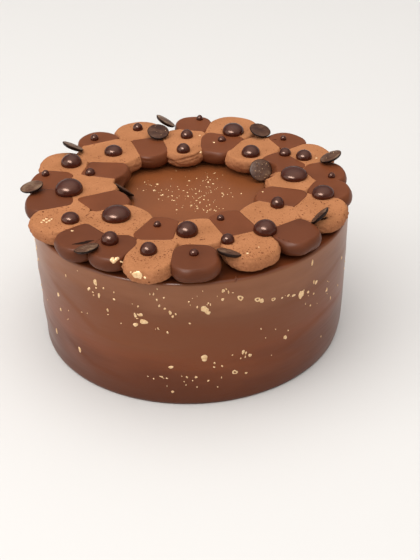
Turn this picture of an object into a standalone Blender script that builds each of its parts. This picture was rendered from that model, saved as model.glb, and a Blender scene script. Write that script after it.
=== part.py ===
"""Round chocolate mousse cake: glazed body, two rings of flat-topped dollops, pearls and discs.

Dimensions are in millimetres at the top and are turned into metres when a mesh is made.
The cake stands on z = 0 with its axis on the origin; the front is towards -Y.
"""
import math

import bmesh
import bpy
from mathutils import Matrix, Vector

MM = 0.001

# glazed body
BODY_HEIGHT = 87.3
BODY_RIM = 2.4
# side of the body, top to bottom: height, radius
BODY_SIDE = (
    (84.9, 98.8),
    (50.0, 98.6),
    (15.0, 97.8),
    (2.5, 96.8),
    (0.0, 95.8),
)
BODY_STEPS = 60

# dollops pressed to one height under a flat plate
FLAT_Z = 99.0
GAP = 0.3
DOLLOP_STEPS = 18
DOLLOP_SQUARE = 2.3
# side of a dollop, top to bottom: height below the flat top, offset outside its edge
DOLLOP_SIDE = (
    (0.0, 0.0),
    (0.7, 1.2),
    (3.0, 2.3),
    (6.6, 1.9),
    (9.6, -0.6),
    (11.4, -3.6),
)
BULGE = max(offset for _, offset in DOLLOP_SIDE)
# dollops and discs that come this close together are looked at as neighbours
NEARBY = 1.0

# name, x, y, half length along the cake radius, half width across it
TAN_DOLLOPS = (
    ("dollop_outer_01", -21.4, -86.5, 15.0, 13.0),
    ("dollop_outer_03", 35.0, -75.8, 14.8, 14.3),
    ("dollop_outer_05", 78.6, -34.8, 14.7, 15.6),
    ("dollop_outer_08", 77.5, 37.0, 13.8, 14.2),
    ("dollop_outer_10", 29.0, 80.0, 17.0, 16.3),
    ("dollop_outer_12", -33.5, 77.0, 15.2, 14.8),
    ("dollop_outer_14", -81.2, 32.2, 13.6, 14.0),
    ("dollop_outer_17", -76.3, -41.0, 15.5, 15.5),
    ("dollop_inner_01", -41.0, -45.0, 18.0, 19.0),
    ("dollop_inner_03", 6.0, -61.0, 15.0, 15.5),
    ("dollop_inner_05", 48.0, -42.0, 16.5, 17.0),
    ("dollop_inner_07", 64.0, 1.5, 13.8, 14.5),
    ("dollop_inner_09", 43.2, 47.0, 19.5, 13.7),
    ("dollop_inner_11", -3.8, 59.8, 19.2, 13.2),
    ("dollop_inner_13", -52.0, 47.0, 20.0, 18.0),
    ("dollop_inner_15", -61.5, -0.5, 16.0, 15.5),
)
DARK_DOLLOPS = (
    ("dollop_outer_02", 3.3, -88.5, 13.5, 13.1),
    ("dollop_outer_04", 61.5, -62.2, 12.9, 13.0),
    ("dollop_outer_06", 86.3, -12.0, 11.8, 13.0),
    ("dollop_outer_07", 85.5, 11.5, 12.4, 13.3),
    ("dollop_outer_09", 63.3, 56.3, 12.8, 12.8),
    ("dollop_outer_11", 3.2, 87.0, 12.0, 11.4),
    ("dollop_outer_13", -60.0, 64.3, 13.0, 12.2),
    ("dollop_outer_15", -86.0, 8.0, 12.6, 13.5),
    ("dollop_outer_16", -84.5, -17.5, 13.8, 14.5),
    ("dollop_outer_18", -61.3, -63.0, 14.0, 12.7),
    ("dollop_outer_19", -42.3, -74.5, 13.5, 12.2),
    ("dollop_inner_02", -18.0, -57.5, 14.5, 14.0),
    ("dollop_inner_04", 26.0, -53.0, 15.5, 15.0),
    ("dollop_inner_06", 56.8, -21.0, 14.5, 14.6),
    ("dollop_inner_08", 61.0, 25.0, 12.5, 15.0),
    ("dollop_inner_10", 21.0, 59.0, 16.0, 14.0),
    ("dollop_inner_12", -27.3, 54.0, 15.0, 12.2),
    ("dollop_inner_14", -55.0, 21.0, 14.8, 14.5),
    ("dollop_inner_16", -52.0, -22.5, 15.2, 15.0),
)

# pearls are domes, widest a little above their flat underside: x, y, half width, height
PEARL_STEPS = 12
PEARL_ROWS = 4
DOME_WIDEST = 0.12
DOME_BASE = 0.93
PEARLS = (
    ("pearl_01", -42.6, -41.4, 8.7, 6.6),
    ("pearl_02", -73.8, -7.5, 8.7, 7.4),
    ("pearl_03", -75.8, 29.7, 6.7, 6.5),
    ("pearl_04", -69.6, -44.4, 5.5, 4.9),
    ("pearl_05", -49.6, 44.6, 6.0, 5.2),
    ("pearl_06", -44.6, -70.1, 5.2, 6.1),
    ("pearl_07", -0.5, -62.1, 6.5, 6.9),
    ("pearl_08", 44.5, -62.1, 6.9, 6.8),
    ("pearl_09", 81.9, -19.8, 6.9, 5.7),
    ("pearl_10", 66.2, 5.9, 8.6, 5.5),
    ("pearl_11", 74.5, 31.6, 5.2, 5.0),
    ("pearl_12", 40.5, 38.5, 6.2, 5.8),
    ("pearl_13", 29.9, 72.3, 7.4, 5.9),
)
# small pearls fused to the dollop they lie on, or on a foot where they overhang another:
# clearance under the overhang, and half width of the foot as a share of the pearl's
SMALL_STEPS = 10
SMALL_ROWS = 3
SMALL_DEPTH = 0.6
SMALL_UNDER = 0.36
SMALL_FOOT = 0.4
# dollop, x, y, half width, height
SMALL_PEARLS = (
    ("dollop_outer_01", -22.1, -82.4, 5.0, 5.7),
    ("dollop_outer_02", 3.3, -85.9, 2.75, 3.1),
    ("dollop_outer_03", 22.5, -72.8, 4.0, 4.7),
    ("dollop_outer_07", 89.6, 3.7, 2.25, 3.0),
    ("dollop_outer_09", 63.1, 59.4, 2.0, 2.8),
    ("dollop_outer_11", 7.3, 94.6, 2.25, 3.1),
    ("dollop_outer_12", -35.1, 80.6, 3.5, 4.4),
    ("dollop_outer_13", -63.6, 66.0, 2.75, 3.6),
    ("dollop_outer_15", -90.9, 14.9, 2.5, 3.4),
    ("dollop_inner_02", -18.1, -53.0, 2.25, 2.8),
    ("dollop_inner_04", 19.0, -47.0, 2.25, 2.8),
    ("dollop_inner_05", 53.4, -31.9, 4.25, 5.6),
    ("dollop_inner_08", 62.7, 37.5, 4.0, 3.9),
    ("dollop_inner_10", 22.0, 60.1, 2.75, 2.8),
    ("dollop_inner_11", -1.5, 67.2, 4.25, 4.8),
    ("dollop_inner_11", -3.7, 45.4, 4.5, 5.1),
    ("dollop_inner_14", -62.6, 15.0, 3.25, 3.9),
)

# discs: a nearly flat face with a narrow rim and a rounded underside, as radius and height
DISC_RADIUS = 7.3
DISC_UPPER = ((0.0, 1.7), (6.7, 1.2), (DISC_RADIUS, 0.9))
DISC_LOWER = ((DISC_RADIUS, 0.6), (6.6, -0.3), (4.6, -1.25), (0.0, -1.5))
DISC_STEPS = 16
# a disc leaning on the inner ring has open space in front of it
LEANING_DISCS = ("disc_03", "disc_08")
LEANING_ROOM = 14.0
# centre, then the direction the face looks
DISCS = (
    ("disc_01", (-76.4, 46.9, 102.8), (0.4, 0.3, 0.86)),
    ("disc_02", (-96.9, -5.6, 100.9), (-0.18, 0, 0.98)),
    ("disc_03", (-41.0, 2.3, 93.2), (0.55, 0.39, 0.735)),
    ("disc_04", (-57.3, -78.0, 99.0), (-0.17, 0.19, 0.96)),
    ("disc_05", (23.0, -86.0, 99.0), (0.23, 0.31, 0.93)),
    ("disc_06", (77.0, -49.7, 100.8), (-0.65, 0.3, 0.7)),
    ("disc_07", (91.3, 24.6, 102.2), (-0.39, 0.09, 0.93)),
    ("disc_08", (46.1, 24.5, 94.0), (0.12, -0.79, 0.6)),
    ("disc_09", (47.8, 67.3, 101.8), (0.24, -0.18, 0.95)),
    ("disc_10", (-20.8, 68.3, 102.0), (0.1, -0.28, 0.955)),
    ("disc_11", (-16.3, 83.6, 102.7), (0.54, 0.17, 0.83)),
)

# meshes: points closer than this are one, and edges flatter or sharper than these in degrees
MERGE = 0.01
FLAT_EDGE = 0.5
SHARP_EDGE = 50.0


def clear_scene():
    for obj in list(bpy.data.objects):
        bpy.data.objects.remove(obj, do_unlink=True)


def make_material(name, colour, roughness):
    mat = bpy.data.materials.new(name)
    mat.use_nodes = True
    shader = mat.node_tree.nodes["Principled BSDF"]
    shader.inputs["Base Color"].default_value = (*colour, 1.0)
    shader.inputs["Roughness"].default_value = roughness
    shader.inputs["Metallic"].default_value = 0.0
    return mat


def glaze_material():
    return make_material("glaze", (0.215, 0.067, 0.025), 0.36)


def tan_material():
    return make_material("tan_mousse", (0.44, 0.177, 0.077), 0.8)


def dark_material():
    return make_material("dark_ganache", (0.155, 0.043, 0.0155), 0.45)


def pearl_material():
    return make_material("pearl_chocolate", (0.06, 0.016, 0.0085), 0.3)


def disc_material():
    return make_material("disc_chocolate", (0.09, 0.05, 0.032), 0.42)


def add_object(name, mesh, material):
    mesh.materials.append(material)
    obj = bpy.data.objects.new(name, mesh)
    bpy.context.scene.collection.objects.link(obj)
    return obj


def turned_object(name, profile, steps, material):
    """A profile (radius, height) at +X, from the axis down and back to it, turned about Z."""
    mesh = bpy.data.meshes.new(name)
    verts = [(r * MM, 0.0, z * MM) for r, z in profile]
    edges = [(k, k + 1) for k in range(len(profile) - 1)]
    mesh.from_pydata(verts, edges, [])
    obj = add_object(name, mesh, material)
    screw = obj.modifiers.new("turn", "SCREW")
    screw.axis = "Z"
    screw.angle = math.tau
    screw.steps = steps
    screw.render_steps = steps
    screw.use_merge_vertices = True
    screw.merge_threshold = MERGE * MM
    screw.use_smooth_shade = True
    return obj


def evaluated_mesh(obj):
    bpy.context.view_layer.update()
    graph = bpy.context.evaluated_depsgraph_get()
    return bpy.data.meshes.new_from_object(obj.evaluated_get(graph))


def turned_bmesh(profile, steps, material):
    """The same turned shape, applied, for cutting and bending."""
    obj = turned_object("turned", profile, steps, material)
    mesh = evaluated_mesh(obj)
    drop_object(obj)
    bm = bmesh.new()
    bm.from_mesh(mesh)
    bpy.data.meshes.remove(mesh)
    return bm


def drop_object(obj):
    mesh = obj.data
    bpy.data.objects.remove(obj, do_unlink=True)
    bpy.data.meshes.remove(mesh)


def shade_round(mesh):
    """Smooth shading, but for the flat tops and cuts and at sharp edges."""
    mesh.shade_smooth()
    mesh.set_sharp_from_angle(angle=math.radians(SHARP_EDGE))
    for poly in mesh.polygons:
        poly.use_smooth = poly.loop_total <= 4


def mesh_object(name, bm, material):
    mesh = bpy.data.meshes.new(name)
    bm.to_mesh(mesh)
    bm.free()
    mesh.materials.clear()
    shade_round(mesh)
    return add_object(name, mesh, material)


def cut_mesh(bm, point, normal):
    """Remove what lies beyond a plane and close the cut."""
    geom = bm.verts[:] + bm.edges[:] + bm.faces[:]
    cut = bmesh.ops.bisect_plane(
        bm, geom=geom, plane_co=point, plane_no=normal, clear_outer=True, dist=1e-7
    )
    rim = [e for e in cut["geom_cut"] if isinstance(e, bmesh.types.BMEdge)]
    if rim:
        bmesh.ops.holes_fill(bm, edges=rim)
        bmesh.ops.recalc_face_normals(bm, faces=bm.faces)


def merge_flat_faces(bm):
    bmesh.ops.dissolve_limit(
        bm, angle_limit=math.radians(FLAT_EDGE), verts=bm.verts, edges=bm.edges
    )


def body_profile():
    points = [(0.0, BODY_HEIGHT)]
    inner = BODY_SIDE[0][1] - BODY_RIM
    for turn in (0.0, 45.0):
        r = inner + BODY_RIM * math.sin(math.radians(turn))
        z = BODY_HEIGHT - BODY_RIM * (1.0 - math.cos(math.radians(turn)))
        points.append((r, z))
    points += [(r, z) for z, r in BODY_SIDE]
    points.append((0.0, 0.0))
    return points


def make_body(material):
    return turned_object("cake_body", body_profile(), BODY_STEPS, material)


def rounded(u, v):
    """Size of a vector when the unit circle is swollen a little towards a square."""
    power = DOLLOP_SQUARE
    return (abs(u) ** power + abs(v) ** power) ** (1.0 / power)


def reach(dollop, direction):
    """Distance from a dollop's centre to the edge of its flat top along a direction."""
    _, x, y, along, across = dollop
    out = Vector((x, y)).normalized()
    return 1.0 / rounded(direction.dot(out) / along, direction.cross(out) / across)


def swell(bm):
    """Turn the round rings of a dollop into slightly squared ones."""
    for vert in bm.verts:
        plan = math.hypot(vert.co.x, vert.co.y)
        if plan > 1e-9:
            factor = plan / rounded(vert.co.x, vert.co.y)
            vert.co.x *= factor
            vert.co.y *= factor


def neighbour_planes(dollop, dollops):
    """Planes that part a dollop from the ones it is pressed against."""
    here = Vector(dollop[1:3])
    for other in dollops:
        if other is dollop:
            continue
        away = Vector(other[1:3]) - here
        span = away.length
        away.normalize()
        mine = reach(dollop, away)
        theirs = reach(other, -away)
        if span < mine + theirs + 2.0 * BULGE + NEARBY:
            parting = (span * span + mine * mine - theirs * theirs) / (2.0 * span)
            yield away, parting - GAP / 2.0


def make_dollop(dollop, dollops, material):
    name, x, y, along, across = dollop
    mean = (along + across) / 2.0
    side = [(mean + out, FLAT_Z - down) for down, out in DOLLOP_SIDE]
    profile = [(0.0, FLAT_Z)] + side + [(0.0, side[-1][1])]
    bm = turned_bmesh(profile, DOLLOP_STEPS, material)
    swell(bm)
    stretch = Matrix.Diagonal((along / mean, across / mean, 1.0, 1.0))
    turn = Matrix.Rotation(math.atan2(y, x), 4, "Z")
    bm.transform(turn @ stretch)
    for away, distance in neighbour_planes(dollop, dollops):
        normal = Vector((away.x, away.y, 0.0))
        cut_mesh(bm, normal * distance * MM, normal)
    merge_flat_faces(bm)
    obj = mesh_object(name, bm, material)
    obj.location = (x * MM, y * MM, 0.0)
    return obj


def dome_profile(half_width, height, rows):
    """A dome standing on height 0, from its tip down to where it is widest."""
    widest = DOME_WIDEST * half_width
    points = [(0.0, height)]
    for k in range(1, rows + 1):
        turn = math.pi / 2.0 * k / rows
        z = widest + (height - widest) * math.cos(turn)
        points.append((half_width * math.sin(turn), z))
    return points


def make_pearl(pearl, material):
    """A dome that stands just above the dollops."""
    name, x, y, half_width, height = pearl
    profile = dome_profile(half_width, height, PEARL_ROWS)
    profile += [(DOME_BASE * half_width, GAP), (0.0, GAP)]
    obj = turned_object(name, profile, PEARL_STEPS, material)
    obj.location = (x * MM, y * MM, FLAT_Z * MM)
    return obj


def foot_profile(half_width, foot):
    """Underside of a small pearl: clear of the flats, with a foot reaching down into one."""
    return [
        (DOME_BASE * half_width, SMALL_UNDER),
        (foot, SMALL_UNDER),
        (foot, -SMALL_DEPTH),
        (0.0, -SMALL_DEPTH),
    ]


def room_on(dollop, dollops, spot):
    """Distance from a spot on a dollop to the nearest plane where it meets another."""
    offset = spot - Vector(dollop[1:3])
    return min(far - offset.dot(away) for away, far in neighbour_planes(dollop, dollops))


def shift_foot(bm, foot, shift):
    """Move the foot of a small pearl sideways."""
    for vert in bm.verts:
        inside = math.hypot(vert.co.x, vert.co.y) < (foot + MERGE) * MM
        if inside and vert.co.z < (SMALL_UNDER + MERGE) * MM:
            vert.co.xy += shift


def make_small_pearl(index, pearl, dollop, dollops, material):
    """A dome let into its dollop, or on a shifted foot where it overhangs another."""
    _, x, y, half_width, height = pearl
    wide = DOME_BASE * half_width
    spot = Vector((x, y))
    overhangs = room_on(dollop, dollops, spot) < wide
    profile = dome_profile(half_width, height, SMALL_ROWS)
    if overhangs:
        foot = SMALL_FOOT * half_width
        profile += foot_profile(half_width, foot)
    else:
        profile += [(wide, -SMALL_DEPTH), (0.0, -SMALL_DEPTH)]
    bm = turned_bmesh(profile, SMALL_STEPS, material)
    if overhangs:
        shift_foot(bm, foot, (Vector(dollop[1:3]) - spot).normalized() * foot * MM)
    obj = mesh_object("small_pearl_%02d" % index, bm, material)
    obj.location = (x * MM, y * MM, FLAT_Z * MM)
    return obj


def disc_profile(grow, room):
    """A disc, or with grow and room the space it needs in what it is pushed into."""
    points = [(r, z + grow + room) for r, z in DISC_UPPER]
    points += [(r, z - grow) for r, z in DISC_LOWER]
    return [(r + grow if r > 0.0 else 0.0, z) for r, z in points]


def make_disc(disc, material, grow=0.0, room=0.0):
    name, centre, looks = disc
    obj = turned_object(name, disc_profile(grow, room), DISC_STEPS, material)
    obj.location = [c * MM for c in centre]
    obj.rotation_mode = "QUATERNION"
    obj.rotation_quaternion = Vector(looks).to_track_quat("Z", "Y")
    return obj


def boolean_with(obj, tools, operation):
    """One Boolean of a body with a collection of tools, applied; the tools are removed."""
    group = bpy.data.collections.new("tools")
    bpy.context.scene.collection.children.link(group)
    for tool in tools:
        bpy.context.scene.collection.objects.unlink(tool)
        group.objects.link(tool)
    mod = obj.modifiers.new("boolean", "BOOLEAN")
    mod.operation = operation
    mod.operand_type = "COLLECTION"
    mod.collection = group
    mod.solver = "EXACT"
    mesh = evaluated_mesh(obj)
    obj.modifiers.clear()
    old = obj.data
    obj.data = mesh
    bpy.data.meshes.remove(old)
    mesh.name = obj.name
    shade_round(mesh)
    for tool in tools:
        drop_object(tool)
    bpy.data.collections.remove(group)


def near_discs(dollop):
    here = Vector(dollop[1:3])
    limit = max(dollop[3:5]) + BULGE + DISC_RADIUS + NEARBY
    return [d for d in DISCS if (Vector(d[1][:2]) - here).length < limit]


def fit_discs(obj, dollop, material):
    """Room for the discs that sink into a dollop or lean on it."""
    tools = []
    for disc in near_discs(dollop):
        room = LEANING_ROOM if disc[0] in LEANING_DISCS else 0.0
        tools.append(make_disc(disc, material, grow=GAP, room=room))
    if tools:
        boolean_with(obj, tools, "DIFFERENCE")


def add_small_pearls(obj, dollop, dollops, material):
    mine = [(k, p) for k, p in enumerate(SMALL_PEARLS) if p[0] == obj.name]
    if mine:
        tools = [make_small_pearl(k, p, dollop, dollops, material) for k, p in mine]
        boolean_with(obj, tools, "UNION")


def make_dollops(tan, dark):
    dollops = TAN_DOLLOPS + DARK_DOLLOPS
    for dollop in dollops:
        material = tan if dollop in TAN_DOLLOPS else dark
        obj = make_dollop(dollop, dollops, material)
        fit_discs(obj, dollop, material)
        add_small_pearls(obj, dollop, dollops, material)


def main():
    clear_scene()
    make_body(glaze_material())
    make_dollops(tan_material(), dark_material())
    pearl = pearl_material()
    for entry in PEARLS:
        make_pearl(entry, pearl)
    disc = disc_material()
    for entry in DISCS:
        make_disc(entry, disc)


main()
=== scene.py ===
"""The looks of a round chocolate mousse cake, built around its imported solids.

Lengths are in millimetres in the tables here and become metres when a mesh is made.
The cake stands on z = 0 with its axis on the origin; the front is towards -Y.
"""
import math

import bpy
import numpy as np
from mathutils import Matrix, Vector
from mathutils.bvhtree import BVHTree


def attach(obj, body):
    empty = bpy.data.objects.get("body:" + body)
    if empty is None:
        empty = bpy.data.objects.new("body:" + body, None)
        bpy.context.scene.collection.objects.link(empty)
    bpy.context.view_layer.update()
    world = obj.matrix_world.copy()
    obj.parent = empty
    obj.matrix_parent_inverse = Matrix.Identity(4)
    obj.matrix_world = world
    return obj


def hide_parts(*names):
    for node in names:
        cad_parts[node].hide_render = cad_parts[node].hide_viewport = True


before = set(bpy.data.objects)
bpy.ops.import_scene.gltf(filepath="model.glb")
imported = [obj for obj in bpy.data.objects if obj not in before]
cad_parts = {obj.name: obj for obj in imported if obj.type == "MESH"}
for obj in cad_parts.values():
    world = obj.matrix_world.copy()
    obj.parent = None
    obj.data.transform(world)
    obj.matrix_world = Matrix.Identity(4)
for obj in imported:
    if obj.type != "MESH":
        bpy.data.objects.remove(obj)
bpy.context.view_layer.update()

MM = 0.001
TURN = math.tau
SEED = 11

# view of the photograph: place in millimetres, angles in degrees
CAMERA_AT = (12.0, -619.9, 422.4)
CAMERA_DOWN = 32.5575
CAMERA_ROLL = -1.2583
CAMERA_LENS = 71.75
SENSOR_WIDTH = 36.0
CAMERA_NEAR = 0.01

# lights: place, width and depth in metres, watts, whether they show in gloss and in matt
LIGHT_COLOUR = (1.0, 0.975, 0.94)
LIGHT_AIM = Vector((0.0, 0.0, 0.07))
LIGHTS = {
    "key": ((-0.25, -0.12, 1.2), (1.6, 1.6), 7.2, False, True),
    "fill": ((0.25, -1.7, 0.55), (1.4, 1.4), 2.5, False, True),
    "left": ((-1.6, -0.5, 0.62), (2.0, 2.0), 13.0, True, True),
    "right": ((1.5, -0.7, 0.8), (2.0, 2.0), 2.5, True, True),
    "highlight": ((-0.47, -0.73, 1.25), (1.15, 0.5), 29.0, True, False),
}
# brightness of the surroundings: sine of the elevation, level
SKY_LEVELS = ((0.03, 0.7), (0.14, 0.26), (0.5, 0.34), (0.75, 1.0), (1.0, 1.7))
SKY_COLOUR = (1.0, 0.97, 0.94)
# the gloss of pearls is tinted by the chocolate
PEARL_GLOSS = (1.0, 0.7, 0.57)
# a faint sheen on the glaze
GLAZE_SHEEN = 0.02
GLAZE_SHEEN_ROUGH = 0.5
GLAZE_SHEEN_TINT = (1.0, 0.8, 0.62)
# half width of the floor, in metres
FLOOR_HALF = 6.0

SPECULAR = "Specular IOR Level"
# colours along a noise or a height: share, linear colour
# the glazed side by height and noise: painted shade, darker and redder towards the foot
GLAZE_SIDE_SHADE_TONES = (
    (0.15, (0.092, 0.0206, 0.0046)), (0.4, (0.121, 0.0278, 0.0064)),
    (0.56, (0.183, 0.046, 0.0122)), (0.68, (0.18, 0.052, 0.0165)),
    (0.82, (0.182, 0.06, 0.0235)), (0.95, (0.25, 0.096, 0.0435)),
)
GLAZE_TOP_TONES = ((0.35, (0.196, 0.059, 0.0178)), (0.65, (0.252, 0.075, 0.0226)))
# painted shade on the ledge outside the rings of dollops
GLAZE_LEDGE_SHADE_TONES = ((0.35, (0.115, 0.029, 0.0095)), (0.65, (0.15, 0.038, 0.012)))
TAN_FLAT_TONES = ((0.35, (0.355, 0.139, 0.053)), (0.65, (0.485, 0.202, 0.086)))
# painted shade down the sides of tan dollops
TAN_SIDE_SHADE_TONES = ((0.35, (0.315, 0.117, 0.047)), (0.65, (0.46, 0.186, 0.082)))
DARK_FLAT_TONES = ((0.3, (0.14, 0.0385, 0.0135)), (0.7, (0.168, 0.047, 0.0175)))
# painted shade down the sides of dark dollops
DARK_SIDE_SHADE_TONES = ((0.3, (0.115, 0.032, 0.012)), (0.7, (0.138, 0.039, 0.0155)))
# painted shade in the undercut at the foot of a dollop
FOOT_SHADE_TONES = ((0.3, (0.02, 0.007, 0.004)), (0.7, (0.03, 0.01, 0.005)))
# painted shade of pores, nicks and creases in the tan mousse
PORE_SHADE_TONES = ((0.3, (0.12, 0.034, 0.014)), (0.7, (0.27, 0.088, 0.035)))
# painted shade of slits in the flats
SLIT_SHADE_TONES = ((0.3, (0.009, 0.003, 0.002)), (0.7, (0.026, 0.008, 0.004)))
PEARL_TONES = ((0.3, (0.036, 0.0045, 0.0015)), (0.7, (0.052, 0.007, 0.0022)))
DISC_FACE_TONES = (
    (0.38, (0.042, 0.0142, 0.0078)), (0.5, (0.073, 0.0284, 0.0145)),
    (0.62, (0.114, 0.054, 0.03)), (0.75, (0.22, 0.138, 0.086)),
)
# rims and undersides of discs: chocolate without bloom, painted darker still as shade
DISC_EDGE_SHADE_TONES = (
    (0.3, (0.012, 0.005, 0.0035)), (0.6, (0.022, 0.01, 0.0065)), (0.8, (0.05, 0.026, 0.018)),
)
GOLD_TONES = ((0.3, (0.66, 0.4, 0.18)), (0.7, (0.92, 0.66, 0.38)))
FLOOR_TONES = ((0.3, (0.69, 0.685, 0.678)), (0.7, (0.7, 0.695, 0.688)))
# plain looks: tones, scale and detail of the noise, inputs of the shader
PLAIN_LOOKS = {
    "pore_shade_look": (PORE_SHADE_TONES, 300.0, 1.0, {"Roughness": 0.9, SPECULAR: 0.1}),
    "slit_shade_look": (SLIT_SHADE_TONES, 300.0, 1.0, {"Roughness": 0.9, SPECULAR: 0.1}),
    "pearl_look": (PEARL_TONES, 120.0, 2.0, {
        "Roughness": 0.24, SPECULAR: 0.64, "Specular Tint": (*PEARL_GLOSS, 1),
    }),
    "disc_edge_shade_look": (DISC_EDGE_SHADE_TONES, 260.0, 3.0, {"Roughness": 0.42, SPECULAR: 0.1}),
    "gold_look": (GOLD_TONES, 700.0, 2.0, {"Roughness": 0.42, SPECULAR: 0.5, "Metallic": 0.2}),
    "floor_look": (FLOOR_TONES, 2.0, 1.0, {"Roughness": 0.9, SPECULAR: 0.5}),
}
# how much the height, the noises and the scratches count for a colour; on the glazed side the
# height paints shade, darker towards the foot
GLAZE_SHADE_BY_HEIGHT = 0.75
GLAZE_BY_CLOUD = 0.5
DARK_BY_CLOUD = 0.4
DARK_FLAT_SHARE = 0.8
DISC_BY_BLOOM = 0.75
DISC_BY_SCRATCH = 0.35

# limits of the sums below, and the number of waves in an unevenness
FAR = 200.0
TINY = 1e-9
LEAST_LEAN = 0.01
LEAST_LENGTH = 1e-6
LEAST_RADIUS = 1.0
NOISE_WAVES = 18

# glazed body
BODY_TOP = 87.3
BODY_RIM = 1.9
# side of the body, top to bottom: height, radius
BODY_SIDE = ((85.4, 98.9), (66.0, 98.9), (40.0, 98.4), (15.0, 97.8), (2.5, 96.9), (0.0, 95.9))
BODY_STEPS = 320
BODY_TOP_ROWS = 40
BODY_SIDE_ROWS = 100
BODY_LEAN = 0.7
# waves of the side: height, number round the cake, phase, millimetres of height per radian
BODY_WAVES = ((0.16, 3, 0.6, 30), (0.09, 8, 2.1, -17), (0.06, 17, 0.4, 9))
# they set in from this radius outwards and from the foot upwards
WAVES_FROM = 80.0
WAVES_GROW = 16.0
WAVES_RISE = 8.0
# strokes that the spatula left: line of direction in degrees and height, how far it stands out
STROKES = (
    (((-152, 66), (-141, 59), (-132, 52), (-125, 44), (-116, 41), (-104, 41), (-90, 39)), 0.4),
    (((-64, 24), (-55, 29), (-48, 33), (-37, 37), (-26, 37), (-12, 34)), 0.4),
    (((-116, 22), (-104, 26), (-93, 27), (-82, 27), (-69, 24), (-56, 21), (-42, 21)), 0.3),
    (((-160, 68), (-152, 71), (-140, 75), (-128, 72), (-118, 67)), 0.3),
    (((-146, 30), (-137, 23), (-128, 17), (-117, 13), (-104, 12)), 0.3),
    (((-66, 62), (-52, 59), (-38, 61), (-24, 66), (-8, 66)), 0.25),
    (((-14, 60), (8, 52), (24, 51), (46, 54), (66, 50)), 0.35),
    (((0, 24), (20, 28), (42, 27), (68, 21)), 0.3),
    (((58, 36), (76, 33), (98, 37), (118, 36), (140, 32)), 0.4),
    (((96, 66), (112, 63), (132, 65), (152, 62)), 0.3),
    (((134, 48), (150, 44), (168, 45), (188, 52), (202, 58)), 0.4),
    (((160, 18), (176, 23), (196, 25), (214, 21)), 0.3),
)
# reach of a stroke above its line, below it and, in degrees, at its ends
STROKE_ABOVE = 2.2
STROKE_BELOW = 9.0
STROKE_ENDS = 12.0
# ledge outside the rings of dollops, painted darker and redder than the top inside them as the
# shade of the dollops
LEDGE_SHADE_FROM = 80.0
LEDGE_SHADE_FADE = 8.0
# a small drip across the ledge at the front: x, y, size, length to width
DRIP = (26.6, -94.0, 2.6, 4.0)
DRIP_FORM = ((1.0, -0.05), (0.8, 0.5), (0.45, 0.9), (0.05, 1.0))

# dollops pressed to one height under a flat plate
FLAT_Z = 99.0
DOLLOP_FOOT = 12.2
DOLLOP_SQUARE = 2.3
# dollops whose edges are no further apart than this are pressed together
PRESSED_WITHIN = 5.6
# rounding of the corners between contacts and of the upper edge, and the groove along it
CORNER = 2.2
EDGE_BLEND = 0.9
GROOVE = 0.12
# extra reach into the gap between two others, by the distance of the second one
FILL = 4.5
FILL_NEAR = 1.0
FILL_FAR = 3.6
# tan mousse reaches this far over its contacts, and its flats lie at slightly different heights
TAN_OVER = 0.1
TAN_DROP = 0.02
TAN_STAGGER = 0.015
TAN_LEVELS = 4
# hand-made unevenness of an outline: lobes, least and most of it
WOBBLE_LOBES = (2, 3, 5)
WOBBLE = (0.05, 0.2)
# side of a dollop, top to bottom: height below the flat top, offset outside its edge
DOLLOP_SIDE = (
    (0, 0), (0.08, 0.3), (0.4, 0.75), (1, 1.2), (2, 1.75), (3.4, 2.2), (5, 2.3),
    (6.8, 1.8), (8.4, 0.75), (9.7, -0.8), (10.8, -2.8), (11.6, -4.8), (12.2, -7),
)
SIDE_ROWS = 34
ROW_SPACING = 0.85
TAN_STEPS = 128
TAN_RINGS = 26
DARK_STEPS = 96
DARK_RINGS = 10
# fine and coarse unevenness: shortest and longest wave, height
GRAIN_WAVES = (1.4, 3.5)
LUMP_WAVES = (8, 15)
TAN_GRAIN = 0.2
TAN_LUMPS = 0.22
DARK_GRAIN = 0.02
DARK_LUMPS = 0.22
# rows in which it fades in below the flat, and the share of the fine one on the flat
ROUGH_ROWS = 6
FLAT_GRAIN = 0.35
# height in which the colour of the flats turns into the painted shade of the sides
DARK_SHADE_FADE = 3.0
TAN_SHADE_FADE = 4.0
# below this height the undercut of a dollop is painted dark as shade
FOOT_SHADE_TOP = 87.9
FOOT_SHADE_FADE = 2.0
# the front dollops of the outer ring are a darker copy of the same ganache: painted shade
FRONT_SHADED_DOLLOPS = ("outer_02", "outer_04", "outer_18", "outer_19", "outer_16")
DARK_SHADE = (1.1, 1.12, 1.08)
FRONT_PAINTED_SHADE = (0.86, 0.88, 0.92)
# pores in the flats and sides of tan dollops, painted as small dark patches of shade
FEW_PORES = 30
PORE_COUNTS = {
    "outer_17": 150, "inner_01": 150, "outer_01": 130, "inner_05": 80, "outer_05": 130,
    "outer_03": 160, "inner_13": 70, "inner_03": 60, "inner_11": 40,
}
PORE_SIZE = (0.3, 0.85)
PORE_STEPS = 8
PORES_ON_SIDE = 0.3
PORE_SIDE_ROWS = 16
PORE_INMOST = 0.01
# share of the pores that are larger than the rest, and how much larger
BIG_PORES = 0.12
BIG_PORE = 1.6
# height of patches over what they lie on, at the rim and in the middle of a pore
PATCH_LIFT = 0.03
PORE_MIDDLE_LIFT = 0.02
# unevenness of round outlines: lobes, amount
OUTLINE_LOBES = ((2, 0.17), (3, 0.1), (5, 0.06))
# pointed outlines
LEAF_STEPS = 12
LEAF_UNEVEN = 0.18
LEAF_POINTED = 0.5
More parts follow.
